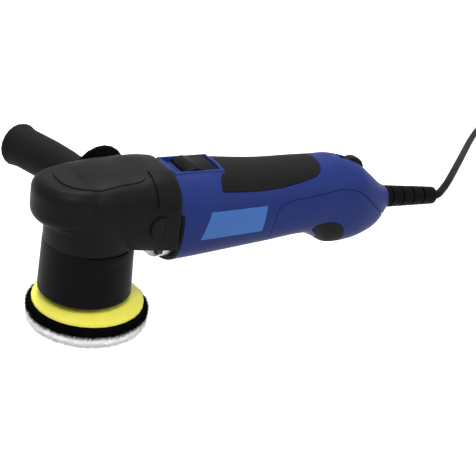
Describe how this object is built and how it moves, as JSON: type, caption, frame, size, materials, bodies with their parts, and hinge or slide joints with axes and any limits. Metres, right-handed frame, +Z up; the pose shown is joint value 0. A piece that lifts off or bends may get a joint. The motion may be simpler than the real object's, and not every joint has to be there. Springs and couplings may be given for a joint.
{
  "type": "dual action polisher",
  "caption": "Corded dual action polisher with a blue motor body, black gear head, side handle, eccentric drive, yellow backing plate, wool pad and coiled mains cord.",
  "frame": {"origin": "middle of the spindle's axis on the pad's working face", "axes": "+Z up along the spindle, +X along the motor's axis to the tail, +Y to the side handle"},
  "size_m": [0.8845, 0.3517, 0.1339],
  "materials": {
    "blue_plastic": "fine-grained moulded",
    "black_plastic": "fine-grained moulded",
    "grip_rubber": "soft matt",
    "cord_rubber": "smooth matt",
    "yellow_plastic": "smooth satin",
    "wool": "tufted pile",
    "fleece": "felted",
    "aluminium_cast": "as cast",
    "steel": "ground",
    "copper": "turned",
    "iron": "stacked sheet",
    "carbon": "pressed carbon",
    "board": "potted board",
    "black_steel": "blackened"
  },
  "bodies": {
    "tool": {"stator": "iron", "motor_bearing_front": "steel", "motor_bearing_rear": "steel", "brush_left": "carbon", "brush_right": "carbon", "brush_holder_left": "copper", "brush_holder_right": "copper", "spindle_bearing_upper": "steel", "spindle_bearing_lower": "steel", "bearing_plate": "aluminium_cast", "gear_case": "aluminium_cast", "case_screw_1": "black_steel", "case_screw_2": "black_steel", "case_screw_3": "black_steel", "case_screw_4": "black_steel", "shroud": "black_plastic", "head_cover": "black_plastic", "handle_stud": "steel", "handle_guard": "black_plastic", "side_handle": "grip_rubber", "housing_screw_1": "steel", "housing_screw_2": "steel", "housing_screw_3": "steel", "housing_screw_4": "steel", "housing_left": "blue_plastic", "housing_right": "blue_plastic", "top_grip": "grip_rubber", "lower_cover": "blue_plastic", "belly_pad": "grip_rubber", "switch_module": "black_plastic", "speed_controller": "board", "strain_relief": "cord_rubber", "cable_clamp": "black_plastic", "cord_run": "cord_rubber", "cord_coil": "cord_rubber", "coil_tie": "black_plastic", "mains_plug": "cord_rubber", "plug_pin_1": "steel", "plug_pin_2": "steel"},
    "armature": {"armature_shaft": "steel", "armature_core": "iron", "commutator": "copper", "fan": "black_plastic", "pinion": "steel"},
    "spindle": {"spindle": "steel", "drive_gear": "steel", "counterweight": "iron", "eccentric_bearing": "steel"},
    "pad": {"pad_spindle": "steel", "backing_plate": "yellow_plastic", "plate_screw": "steel", "hook_layer": "black_plastic", "pad_backing": "fleece", "wool_pad": "wool"},
    "switch": {"switch_slider": "black_plastic"},
    "dial": {"speed_dial": "black_plastic"}
  },
  "joints": [
    {"name": "spindle_spin", "type": "hinge", "parent": "tool", "child": "spindle", "pos_m": [0, 0, 0.0905], "axis": [0, 0, 1], "continuous": true},
    {"name": "armature_spin", "type": "hinge", "parent": "tool", "child": "armature", "pos_m": [0, 0, 0.0905], "axis": [1, 0, 0], "continuous": true},
    {"name": "pad_spin", "type": "hinge", "parent": "spindle", "child": "pad", "pos_m": [0.004, 0, 0.05], "axis": [0, 0, 1], "continuous": true},
    {"name": "switch_slide", "type": "slide", "parent": "tool", "child": "switch", "axis": [-1, 0, 0], "range_m": [0, 0.0065]},
    {"name": "dial_turn", "type": "hinge", "parent": "tool", "child": "dial", "pos_m": [0.243, 0, 0.1075], "axis": [0, 1, 0], "range_deg": [-135, 135]}
  ],
  "couplings": [
    {"joint": "armature_spin", "follows": "spindle_spin", "ratio": 3}
  ]
}
